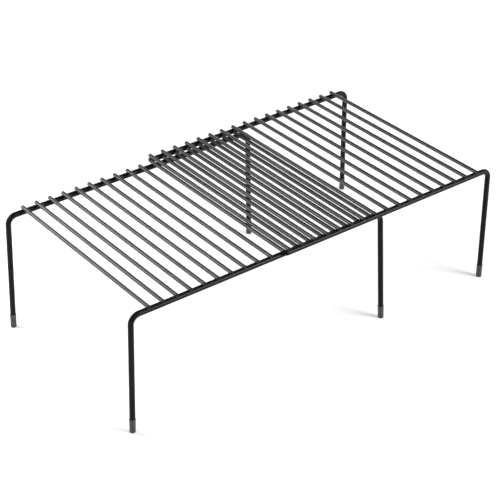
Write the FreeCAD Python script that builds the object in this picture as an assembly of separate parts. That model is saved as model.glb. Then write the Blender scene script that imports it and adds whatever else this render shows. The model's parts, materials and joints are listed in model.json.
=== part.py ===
# Expandable wire shelf for the space under a sink: a base section with four legs and an
# extension section with two legs, whose deck lies over the base's deck and slides along it.
# X runs along the length, Y from front to back and Z up, in millimetres and degrees.
import FreeCAD, Part
import math
import os

os.makedirs("parts", exist_ok=True)

# Wire stock, over the coating
rail_diameter = 6.2
wire_diameter = 4.3

# Deck layout
wire_pitch = 17.0
base_wire_count = 18
extension_wire_count = 17
overlapping_wire_count = 8
base_depth = 235.0
deck_height = 148.4
wire_overhang = 3.2
extension_wire_lead = 2.2
rail_end_overhang = 2.5

# Legs: from the nearest deck wire to the leg's axis at rail height, the outward lean along X
# and, on the leg that is bent out of its rail's plane, the splay towards the back
left_leg_margin = 19.8
middle_leg_margin = 18.0
right_leg_margin = 21.7
leg_lean = 1.5
left_front_leg_lean = 1.1
left_back_leg_lean = 1.9
middle_front_leg_lean = 4.7
right_back_leg_lean = 3.9
right_back_leg_splay = 3.1
bend_radius = 9.7

# Welds and clearances: the extension's rails run along the ends of the base's wires,
# and its wires pass over them
weld_sink = 0.6
guide_clearance = 0.3
deck_lift_clearance = 0.3

# Foot caps, pressed on the leg ends and narrowing towards the floor
foot_height = 17.0
foot_lip_wall = 0.45
foot_bottom_wall = 0.3
foot_base_thickness = 3.0
foot_bottom_round = 0.9
foot_lip_round = 0.25
foot_grip = 0.1

# Rounded cut ends, as shares of the wire's radius
wire_end_round_share = 0.45
rail_end_round_share = 0.35

# How far a cutting solid runs past what it cuts
cut_overrun = 5.0

# Derived sizes
rail_radius = rail_diameter / 2
wire_radius = wire_diameter / 2
wire_over_rail = rail_radius + wire_radius - weld_sink
base_rail_height = deck_height - wire_radius - wire_over_rail
extension_rail_height = base_rail_height + wire_diameter + deck_lift_clearance
rail_side_step = wire_overhang + guide_clearance + rail_radius
base_deck_length = (base_wire_count - 1) * wire_pitch
extension_deck_length = (extension_wire_count - 1) * wire_pitch
first_extension_wire = (base_wire_count - overlapping_wire_count) * wire_pitch + extension_wire_lead
last_extension_wire = first_extension_wire + extension_deck_length
base_front, base_back = 0.0, base_depth
extension_front = base_front - rail_side_step
extension_back = base_back + rail_side_step

along_x = FreeCAD.Vector(1, 0, 0)
along_y = FreeCAD.Vector(0, 1, 0)
upward = FreeCAD.Vector(0, 0, 1)


def leg_axis(corner, lean, side, splay=0):
    """Floor point and upward direction of a leg that leans out by lean and splay degrees.

    corner is where the leg's axis meets the rail's. The lean is towards -X where side is -1
    and towards +X where it is 1, and the splay is towards +Y.
    """
    out = FreeCAD.Vector(side * math.tan(math.radians(lean)), math.tan(math.radians(splay)), -1)
    return corner + out * corner.z, -out.normalize()


def bend(start, corner, end):
    """Arc of the bend radius, tangent to the two runs that meet at corner."""
    into = (corner - start).normalize()
    out = (end - corner).normalize()
    half_turn = into.getAngle(out) / 2
    setback = bend_radius * math.tan(half_turn)
    inward = (out - into).normalize()
    middle = corner + inward * (bend_radius / math.cos(half_turn) - bend_radius)
    return Part.Arc(corner - into * setback, middle, corner + out * setback)


def bent_wire(points):
    """Round rail along straight runs through points, with a tangent bend at each corner."""
    bends = [bend(*points[i - 1:i + 2]) for i in range(1, len(points) - 1)]
    edges = []
    start = points[0]
    for arc in bends:
        edges += [Part.LineSegment(start, arc.StartPoint).toShape(), arc.toShape()]
        start = arc.EndPoint
    edges.append(Part.LineSegment(start, points[-1]).toShape())
    path = Part.Wire(edges)
    profile = Part.Wire(Part.makeCircle(rail_radius, points[0], points[1] - points[0]))
    return path.makePipe(Part.Face(profile)), path.Length


def round_ends(solid, reach, radius):
    """Rounds the flat end faces whose middles lie furthest along the direction reach."""
    end = max(solid.Faces, key=lambda face: face.CenterOfMass.dot(reach))
    return solid.makeFillet(radius, end.Edges)


def base_rail(y, left_lean, middle_lean):
    """Base rail with a leg at each end, and the floor point and direction of both legs."""
    left = FreeCAD.Vector(-left_leg_margin, y, base_rail_height)
    right = FreeCAD.Vector(base_deck_length + middle_leg_margin, y, base_rail_height)
    left_leg = leg_axis(left, left_lean, -1)
    middle_leg = leg_axis(right, middle_lean, 1)
    left_end = left_leg[0] + left_leg[1] * foot_base_thickness
    middle_end = middle_leg[0] + middle_leg[1] * foot_base_thickness
    solid, length = bent_wire([left_end, left, right, middle_end])
    return solid, length, left_leg, middle_leg


def extension_rail(y, lean, splay):
    """Extension rail with a rounded free end and one leg, and that leg's axis."""
    free_end = FreeCAD.Vector(first_extension_wire - rail_end_overhang, y, extension_rail_height)
    right = FreeCAD.Vector(last_extension_wire + right_leg_margin, y, extension_rail_height)
    leg = leg_axis(right, lean, 1, splay)
    leg_end = leg[0] + leg[1] * foot_base_thickness
    solid, length = bent_wire([free_end, right, leg_end])
    return round_ends(solid, -along_x, rail_end_round_share * rail_radius), length, leg


def deck_wire(front, back, rail_height):
    """Cross wire at X zero, with rounded ends and a weld seat where it lies on each rail."""
    height = rail_height + wire_over_rail
    start = FreeCAD.Vector(0, front - wire_overhang, height)
    solid = Part.makeCylinder(wire_radius, back - front + 2 * wire_overhang, start, along_y)
    for reach in (-along_y, along_y):
        solid = round_ends(solid, reach, wire_end_round_share * wire_radius)
    for y in (front, back):
        rail_end = FreeCAD.Vector(wire_diameter, y, rail_height)
        solid = solid.cut(Part.makeCylinder(rail_radius, 2 * wire_diameter, rail_end, -along_x))
    return solid


def foot_cap(floor_point, direction):
    """Soft cap on a leg end: tapered sleeve along the leg, with a flat bottom on the floor."""
    lip_radius = rail_radius + foot_lip_wall
    taper = (foot_lip_wall - foot_bottom_wall) / foot_height
    start_radius = rail_radius + foot_bottom_wall - taper * cut_overrun
    start = floor_point - direction * cut_overrun
    solid = Part.makeCone(start_radius, lip_radius, foot_height + cut_overrun, start, direction)
    below = 2 * (lip_radius + cut_overrun)
    corner = floor_point - FreeCAD.Vector(below / 2, below / 2, below)
    solid = solid.cut(Part.makeBox(below, below, below, corner))
    solid = round_ends(solid, -upward, foot_bottom_round)
    solid = round_ends(solid, upward, foot_lip_round)
    leg_end = floor_point + direction * foot_base_thickness
    return solid.cut(Part.makeCylinder(rail_radius - foot_grip, foot_height, leg_end, direction))


def row_of_wires(name, wire, first, count):
    """Copies of a deck wire at the wire pitch, by node name."""
    row = {}
    for i in range(count):
        copy = wire.copy()
        copy.translate(along_x * (first + i * wire_pitch))
        row[f"{name}_{i + 1:02d}"] = copy
    return row


nodes = {}
rail_lengths = {}
legs = {}

# Base section: two bent rails, their deck wires and four legs
for side, y, left_lean, middle_lean in (
    ("front", base_front, left_front_leg_lean, middle_front_leg_lean),
    ("back", base_back, left_back_leg_lean, leg_lean),
):
    solid, length, left_leg, middle_leg = base_rail(y, left_lean, middle_lean)
    name = f"base_{side}_rail"
    nodes[name], rail_lengths[name] = solid, length
    legs[f"left_{side}"], legs[f"middle_{side}"] = left_leg, middle_leg
base_wire = deck_wire(base_front, base_back, base_rail_height)
nodes.update(row_of_wires("base_wire", base_wire, 0, base_wire_count))

# Extension section: two rails outside the base's, deck wires over the base's, two legs
for side, y, lean, splay in (
    ("front", extension_front, leg_lean, 0),
    ("back", extension_back, right_back_leg_lean, right_back_leg_splay),
):
    name = f"extension_{side}_rail"
    nodes[name], rail_lengths[name], legs[f"right_{side}"] = extension_rail(y, lean, splay)
extension_wire = deck_wire(extension_front, extension_back, extension_rail_height)
nodes.update(row_of_wires("extension_wire", extension_wire, first_extension_wire, extension_wire_count))

# A cap on every leg
for name, (floor_point, direction) in legs.items():
    nodes[f"{name}_foot"] = foot_cap(floor_point, direction)

# The origin goes to the middle of the footprint, on the floor
box = Part.makeCompound(list(nodes.values())).optimalBoundingBox(False, False)
to_origin = FreeCAD.Vector(-box.Center.x, -box.Center.y, -box.ZMin)
rail_section = math.pi * rail_radius ** 2
for name, shape in nodes.items():
    shape.translate(to_origin)
    shape.exportStep(f"parts/{name}.step")
for name, length in rail_lengths.items():
    swept = nodes[name].Volume / (rail_section * length)
    print(f"{name}: path {length:.1f} mm, volume over section times length {swept:.4f}")
print(f"{len(nodes)} nodes, {box.XLength:.1f} by {box.YLength:.1f} by {box.ZLength:.1f} mm")
print(f"moved by {to_origin.x:.3f}, {to_origin.y:.3f}, {to_origin.z:.3f} mm")
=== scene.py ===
import json
import math

import bpy
import numpy as np
from mathutils import Matrix, Vector


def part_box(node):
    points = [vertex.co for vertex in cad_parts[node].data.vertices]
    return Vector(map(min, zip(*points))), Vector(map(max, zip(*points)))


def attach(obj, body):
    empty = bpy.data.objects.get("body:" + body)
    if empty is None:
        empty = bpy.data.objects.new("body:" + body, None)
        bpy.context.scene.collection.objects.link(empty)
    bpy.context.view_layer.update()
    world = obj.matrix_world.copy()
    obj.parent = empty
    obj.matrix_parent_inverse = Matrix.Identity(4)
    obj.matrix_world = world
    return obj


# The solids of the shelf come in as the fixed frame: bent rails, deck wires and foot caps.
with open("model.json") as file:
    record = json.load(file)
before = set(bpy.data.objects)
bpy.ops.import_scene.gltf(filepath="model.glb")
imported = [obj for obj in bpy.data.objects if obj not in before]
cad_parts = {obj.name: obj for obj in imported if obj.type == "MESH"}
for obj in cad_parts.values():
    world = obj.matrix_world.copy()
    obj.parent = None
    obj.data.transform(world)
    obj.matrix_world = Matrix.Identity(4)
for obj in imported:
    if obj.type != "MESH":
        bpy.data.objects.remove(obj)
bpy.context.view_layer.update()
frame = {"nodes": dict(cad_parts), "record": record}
nodes = frame["nodes"]


# Rails: four steel rods, bent down at their ends into the legs, in a black baked coat.
# The coat has a fine orange-peel grain, and cloudy patches in which it is a little thicker,
# duller and paler.
def set_inputs(node, **values):
    """Sets a node's inputs by name, in which _ stands for a space."""
    for name, value in values.items():
        node.inputs[name.replace("_", " ")].default_value = value


def add_node(tree, kind, settings=None, **values):
    """Adds a shader node of a kind to a tree, with its settings and then its inputs' values."""
    node = tree.nodes.new(f"ShaderNode{kind}")
    for name, value in (settings or {}).items():
        setattr(node, name, value)
    set_inputs(node, **values)
    return node


def new_material(name, **values):
    """New material with the values on its shader's inputs, with its node tree and that shader."""
    material = bpy.data.materials.new(name)
    material.use_nodes = True
    shader = material.node_tree.nodes["Principled BSDF"]
    set_inputs(shader, **values)
    return material, material.node_tree, shader


def coat_group():
    """Shader group that turns a coat's dark and pale colour into a clouded, grained surface.

    The patch mask is soft noise about 20 mm wide, stretched to the full range. The grain is
    finer noise, under a millimetre wide, read as a height.
    """
    patches_per_metre = 50
    thin_coat_roughness = 0.34
    thick_coat_roughness = 0.44
    grains_per_metre = 1400
    grain_depth = 0.00004

    group = bpy.data.node_groups.new("baked_coat", "ShaderNodeTree")
    for name in ("Dark", "Pale"):
        group.interface.new_socket(name=name, in_out="INPUT", socket_type="NodeSocketColor")
    for name, kind in (("Colour", "Color"), ("Roughness", "Float"), ("Normal", "Vector")):
        group.interface.new_socket(name=name, in_out="OUTPUT", socket_type=f"NodeSocket{kind}")
    link = group.links.new
    given = group.nodes.new("NodeGroupInput")
    put_out = group.nodes.new("NodeGroupOutput")
    place = add_node(group, "TexCoord")

    patches = add_node(group, "TexNoise", Scale=patches_per_metre, Detail=3)
    mask = add_node(group, "MapRange", From_Min=0.35, From_Max=0.65)
    colour = add_node(group, "Mix", {"data_type": "RGBA"})
    roughness = add_node(group, "MapRange", To_Min=thin_coat_roughness, To_Max=thick_coat_roughness)
    link(place.outputs["Object"], patches.inputs["Vector"])
    link(patches.outputs["Fac"], mask.inputs["Value"])
    link(mask.outputs["Result"], colour.inputs["Factor"])
    link(given.outputs["Dark"], colour.inputs["A"])
    link(given.outputs["Pale"], colour.inputs["B"])
    link(mask.outputs["Result"], roughness.inputs["Value"])
    link(colour.outputs["Result"], put_out.inputs["Colour"])
    link(roughness.outputs["Result"], put_out.inputs["Roughness"])

    grain = add_node(group, "TexNoise", Scale=grains_per_metre, Detail=2)
    relief = add_node(group, "Bump", Strength=0.5, Distance=grain_depth)
    link(place.outputs["Object"], grain.inputs["Vector"])
    link(grain.outputs["Fac"], relief.inputs["Height"])
    link(relief.outputs["Normal"], put_out.inputs["Normal"])
    return group


baked_coat = coat_group()


def coat_material(name, dark, pale, specular):
    """Satin coat: dark and pale are its two linear greys, specular its share of gloss."""
    blue_share = 1.03
    material, tree, shader = new_material(name, Specular_IOR_Level=specular)
    surface = add_node(
        tree, "Group", {"node_tree": baked_coat},
        Dark=(dark, dark, dark * blue_share, 1),
        Pale=(pale, pale, pale * blue_share, 1),
    )
    tree.links.new(surface.outputs["Colour"], shader.inputs["Base Color"])
    tree.links.new(surface.outputs["Roughness"], shader.inputs["Roughness"])
    tree.links.new(surface.outputs["Normal"], shader.inputs["Normal"])
    return material


def dress(slot, material):
    """Puts a material on every solid whose finish is the slot, and returns those solids' names."""
    names = [part["node"] for part in frame["record"]["subparts"] if part["material_slot"] == slot]
    for name in names:
        nodes[name].data.materials[0] = material
    return names


rail_coat = coat_material("rail_coat", dark=0.002, pale=0.005, specular=0.12)
dress("rail_coating", rail_coat)


# Deck wires: thinner straight rods that lie across the rails, in the same coat, set a touch
# paler on them as painted light on their lit tops. Their sheared ends are dull, with painted shade
# on them.
def paint_shade_on_ends(material, end_shade_grey, end_roughness):
    """Darkens a coat as painted shade, and dulls it, where the surface faces along Y, the length of
    the deck wires.

    The mask is the normal's part along Y, towards either end, stretched to the full range.
    """
    tree = material.node_tree
    link = tree.links.new
    shader = tree.nodes["Principled BSDF"]
    place = add_node(tree, "TexCoord")
    facing = add_node(tree, "SeparateXYZ")
    either_end = add_node(tree, "Math", {"operation": "ABSOLUTE"})
    mask = add_node(tree, "MapRange", From_Min=0.15, From_Max=0.5)
    link(place.outputs["Normal"], facing.inputs["Vector"])
    link(facing.outputs["Y"], either_end.inputs[0])
    link(either_end.outputs["Value"], mask.inputs["Value"])

    # Painted shade: the end colour darkens the coat on the wire ends.
    colour = add_node(tree, "Mix", {"data_type": "RGBA"}, B=(end_shade_grey, end_shade_grey, end_shade_grey, 1))
    roughness = add_node(tree, "Mix", B=end_roughness)
    for mix, socket in ((colour, "Base Color"), (roughness, "Roughness")):
        link(shader.inputs[socket].links[0].from_socket, mix.inputs["A"])
        link(mask.outputs["Result"], mix.inputs["Factor"])
        link(mix.outputs["Result"], shader.inputs[socket])


# Painted light: these greys are paler than the rails' to stand in for the light on the wire tops.
wire_coat = coat_material("wire_coat", dark=0.012, pale=0.020, specular=0.5)
# Painted shade on the wire ends, with full roughness there.
paint_shade_on_ends(wire_coat, end_shade_grey=0.001, end_roughness=1.0)
wire_names = dress("wire_coating", wire_coat)


# Welds: each wire is pressed on its rail while the two are hot, and a thin collar of steel is
# squeezed out around the seat. The coat runs over the collar. All rails are of one stock, and
# the base's front rail lies in an upright plane, so the depth of its box is the stock's width.
stock_low, stock_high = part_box("base_front_rail")
rail_radius = (stock_high[1] - stock_low[1]) / 2


def add_object(name, data):
    """Adds an object with a mesh, lamp or camera to the scene, at the origin."""
    added = bpy.data.objects.new(name, data)
    bpy.context.scene.collection.objects.link(added)
    return added


def weld_collars(name, rail, wires):
    """Collars around the seats of some wires on one rail, in one mesh.

    Round the upright axis of a seat, in each direction, the rail's top and the wire's underside
    meet at a distance whose square solves a quadratic. A little further out each of the two
    surfaces carries an edge of the collar. A quadratic curve between the edges, drawn towards
    the meeting point, is the hollow face, and the meeting point closes the profile in the steel.
    A leg may splay outwards, so the rail's run is the one nearer to the deck's middle of the two
    that fit its box. The arrays run over the wires, the directions and the steps of the curve.
    """
    breadth = 0.0004
    unevenness = 0.2
    phase_step = 2.4
    sunk_edge = 0.00003
    directions = 32
    curve_steps = 6
    crease_angle = math.radians(50)

    rail_low, rail_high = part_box(rail)
    boxes = np.array([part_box(wire) for wire in wires])
    deck_middle = boxes[0, :, 1].mean()
    runs = (rail_low[1] + rail_radius, rail_high[1] - rail_radius)
    rail_y = min(runs, key=lambda run: abs(run - deck_middle))
    rail_z = rail_high[2] - rail_radius
    wire_radius = (boxes[0, 1, 0] - boxes[0, 0, 0]) / 2
    wire_x = boxes[:, :, 0].mean(axis=1)[:, None, None]
    rise = boxes[0, 1, 2] - wire_radius - rail_z

    turn = (np.arange(directions) * 2 * np.pi / directions)[:, None]
    across, along = np.sin(turn) ** 2, np.cos(turn) ** 2
    surplus = rail_radius**2 + wire_radius**2 - rise**2
    squared = (across - along) ** 2
    linear = 4 * (along * rail_radius**2 + across * wire_radius**2) - 2 * surplus
    constant = surplus**2 - 4 * (rail_radius * wire_radius) ** 2
    meeting = np.sqrt(-2 * constant / (linear + np.sqrt(linear**2 - 4 * squared * constant)))

    phase = phase_step * np.arange(len(wires))[:, None, None]
    waves = np.sin(2 * turn + phase) * np.cos(turn - 3 * phase)
    edge = meeting + breadth * (1 + unevenness * waves)
    on_rail = np.sqrt(rail_radius**2 - across * edge**2) - sunk_edge
    on_wire = rise - np.sqrt(wire_radius**2 - along * edge**2) + sunk_edge
    meeting = np.broadcast_to(meeting, edge.shape)
    meeting_height = np.sqrt(rail_radius**2 - across * meeting**2)

    t = np.linspace(0, 1, curve_steps)
    pull = 2 * t * (1 - t)
    distance = edge * (1 - pull) + meeting * pull
    height = on_rail * (1 - t) ** 2 + on_wire * t**2 + meeting_height * pull
    distance = np.concatenate([distance, meeting], axis=2)
    height = np.concatenate([height, meeting_height], axis=2)
    points = np.stack([
        wire_x + distance * np.cos(turn),
        rail_y + distance * np.sin(turn),
        rail_z + height,
    ], axis=-1)

    index = np.arange(points[..., 0].size).reshape(points.shape[:3])
    onward = np.roll(index, -1, axis=1)
    corners = [index, onward, np.roll(onward, -1, axis=2), np.roll(index, -1, axis=2)]
    faces = np.stack(corners, axis=-1).reshape(-1, 4)
    mesh = bpy.data.meshes.new(name)
    mesh.from_pydata(points.reshape(-1, 3).tolist(), [], faces.tolist())
    mesh.polygons.foreach_set("use_smooth", np.ones(len(mesh.polygons), dtype=bool))
    mesh.set_sharp_from_angle(angle=crease_angle)
    mesh.materials.append(rail_coat)
    return add_object(name, mesh)


for section in ("base", "extension"):
    section_wires = [wire for wire in wire_names if wire.startswith(section)]
    for side in ("front", "back"):
        collars = weld_collars(f"{section}_{side}_welds", f"{section}_{side}_rail", section_wires)
        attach(collars, section)


# Foot caps: soft grey vinyl sleeves pushed on the leg ends, with a satin skin that pales
# towards its edges, faint upright streaks of paler and darker grey, and fine pits.
def cap_material():
    """Satin grey cap: noise stretched upright gives streaks, fine noise gives pits."""
    dark_vinyl = (0.014, 0.014, 0.0145, 1)
    pale_vinyl = (0.034, 0.034, 0.035, 1)
    dark_roughness = 0.25
    pale_roughness = 0.4
    streaks_per_metre = 700
    upright_stretch = (1, 1, 0.12)
    pits_per_metre = 2500
    pit_depth = 0.00005

    material, tree, shader = new_material(
        "foot_cap", Specular_IOR_Level=0.5, Sheen_Weight=0.6, Sheen_Roughness=0.3,
    )
    link = tree.links.new
    place = add_node(tree, "TexCoord")
    stretch = add_node(tree, "Mapping", Scale=upright_stretch)
    streaks = add_node(tree, "TexNoise", Scale=streaks_per_metre, Detail=3)
    shade = add_node(tree, "ValToRGB")
    dark_stop, pale_stop = shade.color_ramp.elements
    dark_stop.position = 0.3
    dark_stop.color = dark_vinyl
    pale_stop.position = 0.7
    pale_stop.color = pale_vinyl
    roughness = add_node(tree, "MapRange", To_Min=dark_roughness, To_Max=pale_roughness)
    link(place.outputs["Object"], stretch.inputs["Vector"])
    link(stretch.outputs["Vector"], streaks.inputs["Vector"])
    link(streaks.outputs["Fac"], shade.inputs["Fac"])
    link(shade.outputs["Color"], shader.inputs["Base Color"])
    link(streaks.outputs["Fac"], roughness.inputs["Value"])
    link(roughness.outputs["Result"], shader.inputs["Roughness"])

    pits = add_node(tree, "TexNoise", Scale=pits_per_metre)
    relief = add_node(tree, "Bump", Strength=0.3, Distance=pit_depth)
    link(place.outputs["Object"], pits.inputs["Vector"])
    link(pits.outputs["Fac"], relief.inputs["Height"])
    link(relief.outputs["Normal"], shader.inputs["Normal"])
    return material


dress("foot_cap", cap_material())


# Floor: a wide round sheet of pale paper that keeps the shelf's faint shadow and turns up at
# its far rim into a backdrop. Away from the shelf it glows to white in the picture and in
# reflections, without lighting the shelf.
def paper_sweep(flat_reach, rise):
    """Flat disc whose rim turns up: a quarter circle of radius rise, carried round the middle."""
    steps = 9
    turns = 64
    climb = np.linspace(0, np.pi / 2, steps)[:, None]
    turn = np.arange(turns) * 2 * np.pi / turns
    reach = flat_reach + rise * np.sin(climb)
    height = np.broadcast_to(rise * (1 - np.cos(climb)), (steps, turns))
    points = np.stack([reach * np.cos(turn), reach * np.sin(turn), height], axis=-1)

    index = np.arange(steps * turns).reshape(steps, turns)
    onward = np.roll(index, -1, axis=1)
    rim = np.stack([index[:-1], index[1:], onward[1:], onward[:-1]], axis=-1).reshape(-1, 4)
    disc = index[0]
    mesh = bpy.data.meshes.new("floor")
    mesh.from_pydata(points.reshape(-1, 3).tolist(), [], [disc.tolist(), *rim.tolist()])
    return add_object("floor", mesh)


def floor_material():
    """White paper with a glow that rises with the distance from the shelf's middle.

    The glow is there for rays from the camera and for those that a glossy or clear surface sends.
    """
    white = (1, 1, 1, 1)
    paper = (0.9, 0.9, 0.9, 1)
    near_reach, near_glow = 0.4, 0.25
    far_reach, far_glow = 1.2, 1.0

    material, tree, shader = new_material(
        "floor_paper", Base_Color=paper, Roughness=0.9, Specular_IOR_Level=0.0, Emission_Color=white,
    )
    link = tree.links.new
    place = add_node(tree, "TexCoord")
    away = add_node(tree, "VectorMath", {"operation": "LENGTH"})
    glow = add_node(
        tree, "MapRange", From_Min=near_reach, From_Max=far_reach, To_Min=near_glow, To_Max=far_glow,
    )
    path = add_node(tree, "LightPath")
    seen = add_node(tree, "Math", {"operation": "ADD"})
    seen_through = add_node(tree, "Math", {"operation": "ADD", "use_clamp": True})
    strength = add_node(tree, "Math", {"operation": "MULTIPLY"})
    link(place.outputs["Object"], away.inputs[0])
    link(away.outputs["Value"], glow.inputs["Value"])
    link(path.outputs["Is Camera Ray"], seen.inputs[0])
    link(path.outputs["Is Glossy Ray"], seen.inputs[1])
    link(seen.outputs["Value"], seen_through.inputs[0])
    link(path.outputs["Is Transmission Ray"], seen_through.inputs[1])
    link(glow.outputs["Result"], strength.inputs[0])
    link(seen_through.outputs["Value"], strength.inputs[1])
    link(strength.outputs["Value"], shader.inputs["Emission Strength"])
    return material


floor = paper_sweep(flat_reach=9.0, rise=3.0)
floor.data.materials.append(floor_material())


# Light: a large soft lamp to the front right, a small one near the back left corner, a
# faint one close behind the back right corner, and a pale sky.
def soft_lamp(name, place, aim, breadth, power):
    """Square area lamp at a place, turned towards aim, in metres and watts."""
    lamp = bpy.data.lights.new(name, "AREA")
    lamp.size = breadth
    lamp.energy = power
    held = add_object(name, lamp)
    held.location = place
    held.rotation_euler = (Vector(aim) - Vector(place)).to_track_quat("-Z", "Y").to_euler()


soft_lamp("front_right_lamp", place=(1.3, -2.0, 1.0), aim=(0, 0, 0.1), breadth=1.0, power=75)
soft_lamp("back_left_lamp", place=(-0.50, 0.40, 0.40), aim=(-0.2, 0, 0.15), breadth=0.3, power=3.4)
soft_lamp("back_right_lamp", place=(0.25, 0.30, 0.28), aim=(0.16, 0.1, 0.15), breadth=0.1, power=0.2)
sky_grey = (0.38, 0.38, 0.38, 1)
world = bpy.data.worlds.new("studio")
bpy.context.scene.world = world
world.use_nodes = True
set_inputs(world.node_tree.nodes["Background"], Color=sky_grey)

# Camera at the photograph's viewing angle: to the front left, looking down at the deck,
# with a slight roll. The long lens keeps the wires nearly parallel.
camera_place = (-0.89727, -1.13112, 0.97473)
degrees_to_right = 38.344
degrees_down = 32.234
degrees_of_roll = 0.788
lens_data = bpy.data.cameras.new("camera")
lens_data.sensor_width = 36.0
lens_data.lens = 107.81
camera = add_object("camera", lens_data)
heading = Matrix.Rotation(math.radians(-degrees_to_right), 4, "Z")
tilt = Matrix.Rotation(math.radians(90 - degrees_down), 4, "X")
roll = Matrix.Rotation(math.radians(degrees_of_roll), 4, "Z")
camera.matrix_world = Matrix.Translation(camera_place) @ heading @ tilt @ roll
bpy.context.scene.camera = camera
bpy.context.scene.view_settings.view_transform = "Standard"
